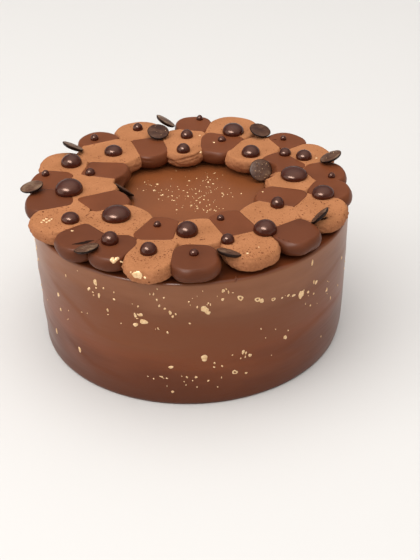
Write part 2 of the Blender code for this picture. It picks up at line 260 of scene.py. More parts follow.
# clusters of larger pores on the flats, painted as dark patches of shade: x, y, spread, count
PORE_CLUSTERS = (
    (-78.2, -33.6, 2.2, 7), (-72.6, -26.5, 1.5, 4), (-66.5, -25, 1.6, 4), (-63.1, -29, 1.6, 5),
    (-59.3, -39.6, 1.8, 6), (-54.8, -38.1, 2, 7), (-54.2, -47.5, 2, 5), (-50.2, -56, 1.6, 5),
    (-41.3, -61, 2, 6), (-32.6, -57.2, 2, 6), (-30.5, -50.4, 1.6, 4), (-81, -38.6, 1.8, 5),
    (-85.1, -47.5, 2, 5), (-75.1, -50.5, 2, 5), (-32, -84.5, 1.6, 5), (-30, -89.2, 1.8, 6),
    (-25.5, -91.3, 1.6, 5), (-20.7, -90.2, 1.6, 5), (-13.5, -80, 1.4, 4), (34, -84, 2.5, 7),
    (44, -79, 2.5, 6), (28, -67, 1.5, 4), (84, -41, 2.5, 6), (72, -42, 2, 5),
    (55, -50, 2, 4), (-60, 36, 2, 4), (-44, 36, 2, 5), (-83, 24, 2, 3),
    (64, 8, 2, 4), (78, 41, 2, 4), (28, 84, 3, 4), (31, -88.6, 1.5, 6),
    (36, -89.4, 1.5, 8), (41, -87.8, 1.5, 8), (45, -84.6, 1.5, 6),
)
PORE_CLUSTER_SIZE = (0.5, 1.25)
PORE_CLUSTER_WIDTH = (0.4, 0.8)
# single pits, nicks and creases on the flats, painted as dark patches of shade:
# x, y, length, width, direction in degrees; a mark that runs past a dollop's edge is left out,
# but its random draws count
MARKS = (
    (-13, -86.1, 1.7, 1.4, 0), (7.6, -70.4, 2.6, 1.1, 15), (9.4, -69.8, 1.2, 0.9, 70),
    (56.9, 59.6, 2.6, 0.7, 8), (-57.6, -41.6, 1.8, 1, -20), (-64, -30.8, 1.5, 0.9, 40),
    (17, -79.4, 3.2, 0.35, 100), (28.6, -81.3, 3.4, 0.35, 35), (25.8, -78.6, 2.6, 0.3, 75),
    (30.8, -84.6, 2.4, 0.3, 5), (72, -53.4, 1.6, 1, 60), (83.8, -46.8, 1.8, 1, 20),
    (80.2, -54.2, 1.5, 0.8, -30), (-57.6, 39.8, 2, 0.5, 30),
)
# slits in the flats, painted as near-black patches of shade: in three dark dollops and beside discs
# 05 and 06
DARK_MARKS = (
    (-60.4, -71.2, 11, 3, 16), (-56.6, -69.4, 5.6, 2.2, 14), (25.6, -93, 4, 1.4, 30),
    (51.9, -70.4, 1.3, 0.45, -50), (54.3, -72.6, 1.5, 0.5, -40), (57.2, -74.2, 1.3, 0.45, -25),
    (79.4, -49.8, 4.4, 2.4, 50), (81.2, -48.4, 2.4, 1.6, 20), (57.4, 59.2, 3, 0.8, 5),
)

# centre x and y, half length along the cake radius, half width across it
TAN_DOLLOPS = {
    "outer_01": (-21.4, -86.5, 15, 13), "outer_03": (35, -75.8, 14.8, 14.3),
    "outer_05": (78.6, -34.8, 14.7, 15.6), "outer_08": (77.5, 37, 13.8, 14.2),
    "outer_10": (29, 80, 17, 16.3), "outer_12": (-33.5, 77, 15.2, 14.8),
    "outer_14": (-81.2, 32.2, 13.6, 14), "outer_17": (-76.3, -41, 15.5, 15.5),
    "inner_01": (-41, -45, 18, 19), "inner_03": (6, -61, 15, 15.5),
    "inner_05": (48, -42, 16.5, 17), "inner_07": (64, 1.5, 13.8, 14.5),
    "inner_09": (43.2, 47, 19.5, 13.7), "inner_11": (-3.8, 59.8, 19.2, 13.2),
    "inner_13": (-52, 47, 20, 18), "inner_15": (-61.5, -0.5, 16, 15.5),
}
DARK_DOLLOPS = {
    "outer_02": (3.3, -88.5, 13.5, 13.1), "outer_04": (61.5, -62.2, 12.9, 13),
    "outer_06": (86.3, -12, 11.8, 13), "outer_07": (85.5, 11.5, 12.4, 13.3),
    "outer_09": (63.3, 56.3, 12.8, 12.8), "outer_11": (3.2, 87, 12, 11.4),
    "outer_13": (-60, 64.3, 13, 12.2), "outer_15": (-86, 8, 12.6, 13.5),
    "outer_16": (-84.5, -17.5, 13.8, 14.5), "outer_18": (-61.3, -63, 14, 12.7),
    "outer_19": (-42.3, -74.5, 13.5, 12.2), "inner_02": (-18, -57.5, 14.5, 14),
    "inner_04": (26, -53, 15.5, 15), "inner_06": (56.8, -21, 14.5, 14.6),
    "inner_08": (61, 25, 12.5, 15), "inner_10": (21, 59, 16, 14),
    "inner_12": (-27.3, 54, 15, 12.2), "inner_14": (-55, 21, 14.8, 14.5),
    "inner_16": (-52, -22.5, 15.2, 15),
}
DOLLOPS = {**TAN_DOLLOPS, **DARK_DOLLOPS}
# two dollops that have run together: they reach over each other
MERGED = ("outer_06", "outer_07")
MERGED_OVER = 1.5
MERGED_DROP = 0.03
# planes that cut dark dollops back where tan mousse has spread: direction, distance
TRIMS = {
    "inner_14": ((-0.96, 0.27, 11.6),), "inner_16": ((-0.8, -0.6, 10.7),),
    "inner_02": ((-0.04, -1, 12),), "outer_15": ((0.75, 0.66, 14.6),),
}
# where tan mousse has spread: direction in degrees, extra reach, half width in degrees
SPREADS = {
    "outer_17": ((37, 5.5, 30), (72, 5, 14)),
    "outer_14": ((-45, 6, 25),),
    "inner_15": ((113, 7, 14), (-111, 4, 14)),
    "inner_13": ((-133, 4, 15),),
    "outer_01": ((49, 8, 13), (108, 4.5, 20), (80, 3.5, 20)),
    "inner_01": ((151, 5, 15),),
    "inner_11": ((45, 4, 16), (135, 4, 16)),
}
# cracks and dents in the sides: path of direction in degrees and depth below the flat top,
# how far they go in, half width
CRACKS = {
    "inner_11": (
        (((-116, 4.9), (-98, 3.9), (-84, 2.4), (-70, 2), (-54, 1.2)), 0.8, 0.5),
        (((-96, 5.4), (-80, 4.6), (-60, 3.4)), 0.5, 0.5),
        (((-119, 5.2), (-112, 5.3)), 2, 0.8),
    ),
    "inner_12": ((((-100, 2.4), (-80, 2.9)), 0.5, 0.7),),
    "inner_13": (
        (((-70, 4.6), (-63, 5.2), (-57, 4.4)), 0.4, 0.4), (((-56, 3), (-50, 3.8)), 0.3, 0.35),
        (((-47, 5), (-40, 4.4), (-34, 5.2)), 0.4, 0.4), (((-66, 2.4), (-62, 2)), 0.3, 0.3),
    ),
    "outer_02": ((((-125, 0.5), (-96, 0.7), (-66, 0.4)), 0.22, 0.3),),
    "outer_04": ((((-128, 0.5), (-112, 0.9), (-98, 0.6)), 0.25, 0.3),),
    "outer_03": ((((-105, 0.8), (-85, 1.3), (-64, 0.9)), 0.4, 0.5),),
}

# pearls are domes, widest a little above their foot
DOME_WIDEST = 0.12
DOME_BASE = 0.93
DOME_SUNK = 0.15
# points round a pearl and rows of them
PEARL_MESH = (64, 22)
SMALL_PEARL_MESH = (36, 14)
# unevenness of the outline: lobes, amount; the tip stands off the middle by up to PEARL_LEAN
PEARL_LOBES = ((2, 0.012), (3, 0.008))
PEARL_LEAN = 0.05
# large pearls: x, y, half width, height
PEARLS = {
    "pearl_01": (-42.6, -41.4, 8.7, 6.6), "pearl_02": (-73.8, -7.5, 8.7, 7.4),
    "pearl_03": (-75.8, 29.7, 6.7, 6.5), "pearl_04": (-69.6, -44.4, 5.5, 4.9),
    "pearl_05": (-49.6, 44.6, 6, 5.2), "pearl_06": (-44.6, -70.1, 5.2, 6.1),
    "pearl_07": (-0.5, -62.1, 6.5, 6.9), "pearl_08": (44.5, -62.1, 6.9, 6.8),
    "pearl_09": (81.9, -19.8, 6.9, 5.7), "pearl_10": (66.2, 5.9, 8.6, 5.5),
    "pearl_11": (74.5, 31.6, 5.2, 5), "pearl_12": (40.5, 38.5, 6.2, 5.8),
    "pearl_13": (29.9, 72.3, 7.4, 5.9),
}
# small pearls, which are part of a dollop's solid: x, y, half width, height
SMALL_PEARLS = (
    (-22.1, -82.4, 5, 5.7), (3.3, -85.9, 2.75, 3.1), (22.5, -72.8, 4, 4.7),
    (89.6, 3.7, 2.25, 3), (63.1, 59.4, 2, 2.8), (7.3, 94.6, 2.25, 3.1), (-35.1, 80.6, 3.5, 4.4),
    (-63.6, 66, 2.75, 3.6), (-90.9, 14.9, 2.5, 3.4), (-18.1, -53, 2.25, 2.8),
    (19, -47, 2.25, 2.8), (53.4, -31.9, 4.25, 5.6), (62.7, 37.5, 4, 3.9),
    (22, 60.1, 2.75, 2.8), (-1.5, 67.2, 4.25, 4.8), (-3.7, 45.4, 4.5, 5.1),
    (-62.6, 15, 3.25, 3.9),
)
# small marks on pearls: across and along the dome as shares of its half width, width, height
PEARL_MARKS = {
    "pearl_02": ((0.12, 0.5, 0.9, -0.35),),
    "pearl_03": ((-0.05, 0.05, 0.9, 0.8),),
    "pearl_08": ((-0.1, 0.15, 0.6, -0.18), (0.35, 0.2, 0.5, -0.15), (0.05, -0.25, 0.5, -0.12)),
}

# gold flakes
FLAKE_STEPS = 14
FLAKE_CRINKLE = 0.12
# a flake is laid along the x axis where the surface is this level
FLAKE_LEVEL = 0.3
# where rays that look for a surface start
FLAKE_PROBE = 2.0
TOP_RAY = 120
SIDE_RAY = 130
DISC_RAY = 5
# rings of a flake: share of its outline, height over what it lies on
FLAKE_SOLID = ((1.0, -0.05), (0.85, 0.1), (0.4, 0.2), (0.02, 0.24))
FLAKE_HOLLOW = ((1.0, -0.05), (0.85, 0.14), (0.55, 0.14), (0.4, -0.05))
# large flakes on the side: direction in degrees, height, size, height to width, if hollow
GOLD_ON_SIDE = (
    (-123, 79.5, 3.4, 1.3), (-106.5, 64.5, 2.6, 0.8), (-105.5, 60, 4.2, 0.9),
    (-108.5, 57, 3, 0.9), (-85, 70, 4.4, 1), (-84, 67.5, 3, 0.9), (-73, 74.5, 3.6, 1.2, True),
    (-67, 71, 3.4, 1.1, True), (-65.5, 69.5, 3, 0.8), (-61, 68, 2.6, 1, True),
    (-57.5, 66.8, 1.3, 1), (-54.9, 66.6, 1.8, 0.8), (-52.5, 65, 2.2, 0.7), (-49, 63, 5, 1.5),
    (-45.6, 62, 1.8, 0.7), (-55.5, 37, 2.8, 1.2), (-72, 36, 2.4, 2.2), (-69.5, 32.5, 2.4, 1.4),
    (-85.5, 35.5, 4.4, 1), (-75, 22.5, 3.4, 1, True), (-134, 23.5, 3, 1.5),
    (-97, 29, 2.4, 0.7), (-150, 22.5, 2.6, 2), (-143.5, 56, 2.8, 1.2), (-44, 81, 2.6, 2.6),
    (24, 66, 3.8, 1.1), (58, 31, 3.2, 1), (83, 58, 4.2, 0.9), (118, 44, 3.6, 1.2),
    (151, 69, 3, 1.4), (172, 27, 3.4, 1),
)
# size of small flakes: mean and spread of its logarithm, least and most
SPECK_SPREAD = (-0.05, 0.48)
SPECK_LIMITS = (0.5, 2.8)
# heights between which they lie, height to width
GOLD_LOWEST = 3
GOLD_HIGHEST = 84
SIDE_STRETCH = (0.6, 2.2)
TOP_STRETCH = (0.5, 2)
# clusters of small flakes on the side: direction, height, spread of both, count
GOLD_SIDE_CLUSTERS = (
    (-125, 74, 6, 5, 10), (-140, 50, 8, 12, 8), (-112, 66, 4, 4, 12), (-99, 76, 4, 4, 9),
    (-94, 67, 4, 4, 5), (-98, 56, 4, 4, 5), (-99, 23, 5, 8, 12), (-86, 75, 4, 4, 9),
    (-78, 79, 4, 3, 4), (-84, 30, 5, 8, 9), (-74, 29, 4, 6, 6), (-61, 42, 4, 6, 6),
    (-45, 60, 5, 6, 8), (-33, 50, 6, 14, 7), (-56, 66, 4, 2, 3), (-10, 52, 12, 16, 12),
    (20, 60, 10, 10, 14), (57, 34, 9, 9, 12), (84, 60, 8, 8, 12), (116, 42, 9, 10, 12),
    (150, 66, 8, 8, 12), (178, 34, 9, 12, 12), (-165, 60, 8, 12, 10),
)
# large specks on the top glaze: x, y, size
GOLD_ON_TOP = (
    (-10.8, 5, 2), (-0.7, 4, 2.2), (4.6, -2, 1.9), (5, -9.6, 1.8), (15.4, 20, 1.8),
    (13.6, 25.6, 1.6), (12, 29, 1.6), (4, 13.6, 1.5), (15.7, -15, 1.7), (12.8, -8, 1.6),
    (12, -1.7, 1.6), (-18, 6, 1.6), (-10.7, -0.7, 1.8), (-7.7, -13.4, 2), (33, 5.8, 1.5),
    (21.7, 4.6, 1.6),
)
# scale of the sizes of all specks on the top
TOP_SPECKS = 0.6
# clusters of specks on the top glaze: x, y, spread of both, count
GOLD_TOP_CLUSTERS = (
    (-22, 10, 5, 8, 14), (-5, 12, 6, 12, 24), (9, 6, 6, 12, 42), (13, 30, 4, 6, 10),
    (-8, 36, 8, 7, 6), (24, 2, 5, 12, 10), (8, -12, 7, 4, 22), (-30, 20, 5, 5, 5),
)
# flakes on the flats of dollops: x, y, size
GOLD_ON_DOLLOPS = (
    (-85.4, -43.7, 2), (-84, -42, 1.6), (-82.2, -44.2, 1.8), (-86.5, -46, 1.5), (-83.5, -46, 1.5),
    (-81, -42.4, 1.3), (-67.4, -57, 1.6), (7.2, 68.6, 1.4), (16.7, 57, 1.4), (8, 45.5, 1.7),
    (82.6, 30.5, 1.5), (45.5, -14.3, 1.2), (33.3, -86.4, 1.5), (-2, 50, 1), (40, -80, 0.9),
)
# flakes on the outer side of the ring: direction, height, size
GOLD_ON_RING_SIDE = (
    (-115.3, 98.5, 3), (-114.1, 98.6, 2.8), (-114.7, 97.7, 2.6), (-112.9, 96.6, 1.2),
    (-105.2, 96, 5.4), (-102.8, 95.2, 1.5), (-107.4, 96.8, 1.2),
)
# specks on discs: disc, count, size
GOLD_ON_DISCS = (("disc_08", 20, 0.36), ("disc_10", 4, 0.48), ("disc_07", 4, 0.4))
DISC_SPECKS_WITHIN = 0.8
DISC_SPECK_SIZES = (0.6, 1.5)

# discs: a nearly flat face with a narrow rim and a rounded underside, as radius and height
DISC_RADIUS = 7.3
DISC_UPPER = ((0.3, 1.7), (3.5, 1.6), (5.8, 1.36), (6.7, 1.2), (7.1, 1.08), (7.28, 0.92))
DISC_LOWER = (
    (7.3, 0.75), (7.24, 0.56), (6.6, -0.3), (5.7, -0.85), (4.6, -1.25), (2.4, -1.45), (0.4, -1.5),
)
DISC_ROWS = 18
DISC_STEPS = 72
# unevenness of the face, and of the discs that are rough or broken
DISC_RIPPLES = (1.2, 4.0)
DISC_UNEVEN = 0.05
ROUGH_DISCS = {"disc_03": 0.14, "disc_04": 0.2, "disc_05": 0.12, "disc_06": 0.26, "disc_07": 0.08}
# discs whose face has more of a grey bloom than the others, or less
DISC_BLOOM = {
    "disc_01": 0.1, "disc_02": 0.1, "disc_11": 0.1, "disc_04": 0.04, "disc_07": 0.04,
    "disc_09": -0.07, "disc_10": -0.07,
}
# discs that lean on the inner ring and press into it
LEANING_DISCS = ("disc_03", "disc_08")
PRESS_EDGE = 1.2
PRESS_AROUND = 0.3
PRESS_GAP = 0.1
# centre, then the direction the face looks
DISCS = {
    "disc_01": ((-76.4, 46.9, 102.8), (0.4, 0.3, 0.86)),
    "disc_02": ((-96.9, -5.6, 100.9), (-0.18, 0, 0.98)),
    "disc_03": ((-41, 2.3, 93.2), (0.55, 0.39, 0.735)),
    "disc_04": ((-57.3, -78, 99), (-0.17, 0.19, 0.96)),
    "disc_05": ((23, -86, 99), (0.23, 0.31, 0.93)),
    "disc_06": ((77, -49.7, 100.8), (-0.65, 0.3, 0.7)),
    "disc_07": ((91.3, 24.6, 102.2), (-0.39, 0.09, 0.93)),
    "disc_08": ((46.1, 24.5, 94), (0.12, -0.79, 0.6)),
    "disc_09": ((47.8, 67.3, 101.8), (0.24, -0.18, 0.95)),
    "disc_10": ((-20.8, 68.3, 102), (0.1, -0.28, 0.955)),
    "disc_11": ((-16.3, 83.6, 102.7), (0.54, 0.17, 0.83)),
}


# ---- meshes

def smooth_mesh(name, verts, faces):
    mesh = bpy.data.meshes.new(name)
    mesh.from_pydata(verts, [], faces)
    mesh.shade_smooth()
    return mesh


def rings_mesh(name, rings, top, bottom):
    """A closed mesh from rows of points round an axis, given from the top outwards and down."""
    rows, steps, _ = rings.shape
    verts = np.vstack([rings.reshape(-1, 3), [top], [bottom]]) * MM
    here = np.arange(steps)
    nxt = (here + 1) % steps
    faces = []
    for row in range(rows - 1):
        a, b = row * steps, (row + 1) * steps
        faces += np.stack([a + here, b + here, b + nxt, a + nxt], 1).tolist()
    first, last = rows * steps, rows * steps + 1
    low = (rows - 1) * steps
    faces += np.stack([np.full(steps, first), here, nxt], 1).tolist()
    faces += np.stack([np.full(steps, last), low + nxt, low + here], 1).tolist()
    return smooth_mesh(name, verts.tolist(), faces)


def add_object(name, data):
    obj = bpy.data.objects.new(name, data)
    bpy.context.scene.collection.objects.link(obj)
    return obj


def add_piece(name, mesh, material, slot, *nodes):
    """Show a mesh that rides on the cake, in place of the solids that it stands for."""
    mesh.materials.append(material)
    obj = add_object(name, mesh)
    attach(obj, "root")
    if nodes:
        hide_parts(*nodes)
    return obj


def spline(points, count):
    """A smooth curve through points, evenly spaced along their length (Catmull-Rom)."""
    points = np.array(points, float)
    ends = np.vstack([2 * points[0] - points[1], points, 2 * points[-1] - points[-2]])
    length = np.r_[0, np.cumsum(np.linalg.norm(np.diff(points, axis=0), axis=1))]
    at = np.interp(np.linspace(0, length[-1], count), length, np.arange(len(points)))
    k = np.minimum(at.astype(int), len(points) - 2)
    t = (at - k)[:, None]
    p0, p1, p2, p3 = ends[k], ends[k + 1], ends[k + 2], ends[k + 3]
    return 0.5 * (
        2 * p1 + (p2 - p0) * t + (2 * p0 - 5 * p1 + 4 * p2 - p3) * t**2
        + (3 * p1 - p0 - 3 * p2 + p3) * t**3
    )


def softmin(a, b, blend):
    """The smaller of two lengths, with the corner between them rounded."""
    share = np.clip(0.5 + 0.5 * (b - a) / blend, 0, 1)
    return b * (1 - share) + a * share - blend * share * (1 - share)


def ease(share):
    """From 0 to 1 with a soft start and end."""
    return share * share * (3 - 2 * share)


def bell(distance, width):
    """1 in the middle, falling off over a width on either side."""
    return np.exp(-((distance / width) ** 2))


def cross(a, b):
    return a[..., 0] * b[..., 1] - a[..., 1] * b[..., 0]


def circle(steps):
    turn = np.arange(steps) * TURN / steps
    return turn, np.stack([np.cos(turn), np.sin(turn)], 1)


def level_ring(plan, z):
    """Points of a plan at one height."""
    return np.c_[plan, np.full(len(plan), z)]


def turn_from(turn, degrees):
    """How far round a turn lies from a direction, at most half a turn either way."""
    return (turn - math.radians(degrees) + math.pi) % TURN - math.pi


def wave_noise(points, rng, shortest, longest):
    """Smooth unevenness in space, about -1 to 1, from waves in many directions."""
    total = np.zeros(points.shape[:-1])
    for _ in range(NOISE_WAVES):
        way = rng.normal(size=3)
        way *= TURN / (np.linalg.norm(way) * rng.uniform(shortest, longest))
        total += np.sin(points @ way + rng.uniform(0, TURN))
    return total * math.sqrt(2 / NOISE_WAVES)


# ---- dollops

def reach(dollop, way):
    """Distance from a dollop's centre to the edge of its flat top along unit vectors."""
    x, y, along, across = dollop
    out = np.array((x, y)) / math.hypot(x, y)
    u = np.abs(way @ out) / along
    v = np.abs(way @ np.array((-out[1], out[0]))) / across
    return (u**DOLLOP_SQUARE + v**DOLLOP_SQUARE) ** (-1 / DOLLOP_SQUARE)


def partings(name, others):
    """Planes that part a dollop from the ones it is pressed against: name, direction, distance."""
    here = np.array(DOLLOPS[name][:2], float)
    for other in others:
        if other == name:
            continue
        away = np.array(DOLLOPS[other][:2]) - here
        span = np.linalg.norm(away)
        away /= span
        mine = reach(DOLLOPS[name], away)
        theirs = reach(DOLLOPS[other], -away)
        if span < mine + theirs + PRESSED_WITHIN:
            yield other, away, (span * span + mine * mine - theirs * theirs) / (2 * span)


def plane_reach(way, away, distance):
    """How far rays from a centre go before they meet a plane."""
    lean = way @ away
    return np.where(lean > LEAST_LEAN, distance / np.maximum(lean, LEAST_LEAN), FAR).clip(max=FAR)


def dark_contact(name, way):
    """Reach of a dark dollop up to the planes that part it from others."""
    limit = np.full(len(way), FAR)
    planes = []
    for other, away, distance in partings(name, DOLLOPS):
        merged = name in MERGED and other in MERGED
        planes.append((away, distance + MERGED_OVER if merged else distance))
    planes += [(np.array(trim[:2]), trim[2]) for trim in TRIMS.get(name, ())]
    for away, distance in planes:
        limit = softmin(limit, plane_reach(way, away, distance), CORNER)
    return limit


def dark_outline(name):
    _, way = circle(DARK_STEPS)
    edge = softmin(reach(DARK_DOLLOPS[name], way), dark_contact(name, way), CORNER)
    return np.array(DARK_DOLLOPS[name][:2]) + way * edge[:, None]


def outline_reach(centre, way, outline):
    """How far rays from a centre go before they meet a closed outline."""
    start = outline - centre
    step = np.roll(outline, -1, 0) - outline
    facing = cross(way[:, None], step)
    facing = np.where(np.abs(facing) < TINY, TINY, facing)
    far = cross(start, step) / facing
    along = cross(start, way[:, None]) / facing
    hit = (far > 0) & (along >= 0) & (along <= 1)
    return np.where(hit, far, FAR).min(1)


def tan_contact(name, way, dark_outlines):
    """Reach of a tan dollop up to other tan ones and to the outlines of dark ones."""
    centre = np.array(TAN_DOLLOPS[name][:2])
    limit = np.full(len(way), FAR)
    for _, away, distance in partings(name, TAN_DOLLOPS):
        limit = np.minimum(limit, plane_reach(way, away, distance + TAN_OVER))
    for other, _, _ in partings(name, DARK_DOLLOPS):
        limit = np.minimum(limit, outline_reach(centre, way, dark_outlines[other]) + TAN_OVER)
    return limit


def gap_fill(name, way, free):
    """Extra reach where a dollop ends in the gap between two others."""
    at = np.array(DOLLOPS[name][:2]) + way * free[:, None]
    room = []
    for other, dollop in DOLLOPS.items():
        if other != name:
            to = at - np.array(dollop[:2])
            far = np.linalg.norm(to, axis=1)
            room.append(far - reach(dollop, to / far[:, None]))
    second = np.sort(room, axis=0)[1]
    return FILL * ease(np.clip((FILL_FAR - second) / (FILL_FAR - FILL_NEAR), 0, 1))


def spread_out(name, turn):
    """Extra reach where the mousse has been pressed out further."""
    extra = np.zeros(len(turn))
    for middle, length, width in SPREADS.get(name, ()):
        extra += length * bell(turn_from(turn, middle), math.radians(width))
    return extra


def path_distance(turn, down, radius, path):
    """How far points on a side lie from a path, in millimetres along the side."""
    nearest = np.full(np.broadcast(turn, down).shape, FAR)
    for (turn_a, down_a), (turn_b, down_b) in zip(path, path[1:]):
        across, along = turn_from(turn, turn_a) * radius, down - down_a
        step = (math.radians(turn_b - turn_a) * radius, down_b - down_a)
        length = step[0] ** 2 + step[1] ** 2
        share = np.clip((across * step[0] + along * step[1]) / length, 0, 1)
        far = np.hypot(across - share * step[0], along - share * step[1])
        nearest = np.minimum(nearest, far)
    return nearest


def crack_depth(name, turn, down, radius):
    depth = np.zeros(len(turn))
    for path, deep, width in CRACKS.get(name, ()):
        far = path_distance(turn, down, radius, path)
        depth = np.maximum(depth, deep * bell(far, width))
    return depth


def wobble(turn, rng):
    """A hand-made unevenness round an outline."""
    total = np.zeros(len(turn))
    for lobes in WOBBLE_LOBES:
        total += rng.uniform(*WOBBLE) * np.sin(lobes * turn + rng.uniform(0, TURN))
    return total


def smooth_round(values):
    return (np.roll(values, 1) + 2 * values + np.roll(values, -1)) / 4


def groove_offset(down):
    """How far a pressed edge stands back just below the flat top."""
    deep = np.clip(GROOVE - down, 0, GROOVE)
    return -(GROOVE - np.sqrt(GROOVE**2 - deep**2))


def dollop_rings(name, contact, free, rings, flat_z, turn, way):
    """Rows of points: the flat top, its edge, and the side down to the foot."""
    rows = []
    edge = softmin(free, contact + groove_offset(0.0), EDGE_BLEND)
    for share in (np.arange(1, rings) / rings) ** ROW_SPACING:
        rows.append((edge * share, flat_z))
    for down, out in spline(DOLLOP_SIDE, SIDE_ROWS):
        radius = softmin(free + out, contact + groove_offset(down), EDGE_BLEND)
        radius = radius - crack_depth(name, turn, down, radius)
        rows.append((np.maximum(radius, LEAST_RADIUS), flat_z - down))
    centre = np.array(DOLLOPS[name][:2])
    return np.stack([level_ring(centre + way * r[:, None], z) for r, z in rows])


def press_discs(points):
    """Dent a dollop behind the discs that lean on it."""
    radii, heights = zip(*reversed(DISC_LOWER))
    for name in LEANING_DISCS:
        centre, looks = DISCS[name]
        looks = np.array(looks) / np.linalg.norm(looks)
        place = points - np.array(centre)
        ahead = place @ looks
        across = np.linalg.norm(place - ahead[..., None] * looks, axis=-1)
        near = np.clip((DISC_RADIUS + PRESS_AROUND - across) / PRESS_EDGE + 1, 0, 1)
        back = np.interp(across, radii, heights) - PRESS_GAP
        push = np.clip(ahead - back, 0, None) * ease(near)
        points -= push[..., None] * looks


def roughen(points, way, flat_rows, grain, lumps, rng):
    """Unevenness of the side, fading in below the flat top, and a faint one on the flat."""
    uneven = grain * wave_noise(points, rng, *GRAIN_WAVES)
    uneven += lumps * wave_noise(points, rng, *LUMP_WAVES)
    fade_in = np.clip((np.arange(len(points)) - flat_rows) / ROUGH_ROWS, 0, 1)[:, None]
    points[..., :2] += way * (uneven * fade_in)[..., None]
    points[..., 2] -= FLAT_GRAIN * grain * (1 - fade_in) * np.abs(uneven)


def dollop_points(name, contact, free, steps, rings, flat_z, rng):
    turn, way = circle(steps)
    free = free + wobble(turn, rng)
    return dollop_rings(name, smooth_round(contact), free, rings, flat_z, turn, way)


def add_dollop(name, points, flat_z, material, slot):
    press_discs(points)
    x, y = DOLLOPS[name][:2]
    piece = "mousse_" + name
    mesh = rings_mesh(piece, points, (x, y, flat_z), (x, y, flat_z - DOLLOP_FOOT))
    return add_piece(piece, mesh, material, slot, "dollop_" + name)


def make_dark_dollops(usual, darker, rng):
    _, way = circle(DARK_STEPS)
    pieces = []
    for name in DARK_DOLLOPS:
        contact = dark_contact(name, way)
        free = reach(DOLLOPS[name], way)
        flat_z = FLAT_Z - MERGED_DROP * (name == MERGED[0])
        points = dollop_points(name, contact, free, DARK_STEPS, DARK_RINGS, flat_z, rng)
        roughen(points, way, DARK_RINGS, DARK_GRAIN, DARK_LUMPS, rng)
        # the front dollops take the copy with painted shade
        material = darker if name in FRONT_SHADED_DOLLOPS else usual
        pieces.append(add_dollop(name, points, flat_z, material, "dark_ganache"))
    return pieces


def make_tan_dollops(material, pore_shade, rng):
    turn, way = circle(TAN_STEPS)
    outlines = {name: dark_outline(name) for name in DARK_DOLLOPS}
    pores, pieces = [], []
    for k, name in enumerate(TAN_DOLLOPS):
        contact = tan_contact(name, way, outlines)
        free = reach(DOLLOPS[name], way)
        free = free + gap_fill(name, way, free) + spread_out(name, turn)
        flat_z = FLAT_Z - TAN_DROP - TAN_STAGGER * (k % TAN_LEVELS)
        points = dollop_points(name, contact, free, TAN_STEPS, TAN_RINGS, flat_z, rng)
        roughen(points, way, TAN_RINGS, TAN_GRAIN, TAN_LUMPS, rng)
        pores += make_pores(points, PORE_COUNTS.get(name, FEW_PORES), rng)
        pieces.append(add_dollop(name, points, flat_z, material, "tan_mousse"))
    # the pores are flat patches of painted shade
    add_piece("mousse_pore_shade", patches_mesh("mousse_pore_shade", pores), pore_shade, "tan_mousse")
    return pieces


# ---- pores and marks, painted as dark patches of shade

def patch_outline(size, steps, rng):
    """An irregular rounded outline in a plane."""
    turn, way = circle(steps)
    uneven = np.ones(steps)
    for lobes, amount in OUTLINE_LOBES:
        uneven += amount * np.sin(lobes * turn + rng.uniform(0, TURN))
    return way * (0.5 * size * uneven)[:, None]


def patches_mesh(name, patches):
    """One mesh of many small patches, each a row of rim points and a centre."""
    verts, faces = [], []
    for rim, centre in patches:
        base, steps = len(verts), len(rim)
        verts += [tuple(p) for p in rim * MM]
        verts.append(tuple(centre * MM))
        faces += [(base + k, base + (k + 1) % steps, base + steps) for k in range(steps)]
    return smooth_mesh(name, verts, faces)


def pore_row(rng):
    """A row of a tan dollop's points, on its side or spread evenly over its flat."""
    if rng.uniform() < PORES_ON_SIDE:
        return int(rng.integers(TAN_RINGS, TAN_RINGS + PORE_SIDE_ROWS))
    return int(TAN_RINGS * math.sqrt(rng.uniform(PORE_INMOST, 1)) ** (1 / ROW_SPACING))


def make_pores(points, count, rng):
    """Small dark patches of painted shade for pores, lying on the points of a tan dollop."""
    rows, steps, _ = points.shape
    patches = []
    for _ in range(count):
        row, col = min(pore_row(rng), rows - 2), int(rng.integers(steps))
        at = points[row, col].copy()
        down = points[row + 1, col] - points[row - 1, col]
        side = points[row, (col + 1) % steps] - points[row, col - 1]
        normal = np.cross(down, side)
        normal /= max(np.linalg.norm(normal), LEAST_LENGTH)
        down /= max(np.linalg.norm(down), LEAST_LENGTH)
        size = rng.uniform(*PORE_SIZE) * (BIG_PORE if rng.uniform() < BIG_PORES else 1)
        plan = patch_outline(size, PORE_STEPS, rng)
        across = np.cross(normal, down)
        rim = at + plan[:, :1] * down + plan[:, 1:] * across + normal * PATCH_LIFT
        patches.append((rim, at + normal * PORE_MIDDLE_LIFT))
    return patches


def leaf_outline(length, width, direction, rng):
    """A pointed irregular outline for a nick or crease."""
    turn, way = circle(LEAF_STEPS)
    uneven = 1 + LEAF_UNEVEN * np.sin(3 * turn + rng.uniform(0, TURN))
    plan = way * (0.5 * uneven)[:, None] * (length, width)
    plan[:, 1] *= 1 - LEAF_POINTED * np.abs(way[:, 0]) ** 3
    lean = math.radians(direction)
    return plan @ np.array(((math.cos(lean), math.sin(lean)), (-math.sin(lean), math.cos(lean))))


def mark_patch(surfaces, x, y, plan):
    """A patch that lies on what is below each point of its outline, or None past an edge."""
    rim = []
    for u, v in np.vstack([plan, [(0, 0)]]):
        spot, _ = surfaces.hit(*top_ray(x + u, y + v))
        if spot is None:
            return None
        rim.append(np.array(spot) + (0, 0, PATCH_LIFT))
    return np.array(rim[:-1]), rim[-1]


def add_marks(name, surfaces, marks, material, slot):
    """Marks as one piece: each has its place and its outline."""
    patches = [mark_patch(surfaces, *mark) for mark in marks]
    patches = [patch for patch in patches if patch is not None]
    add_piece(name, patches_mesh(name, patches), material, slot)


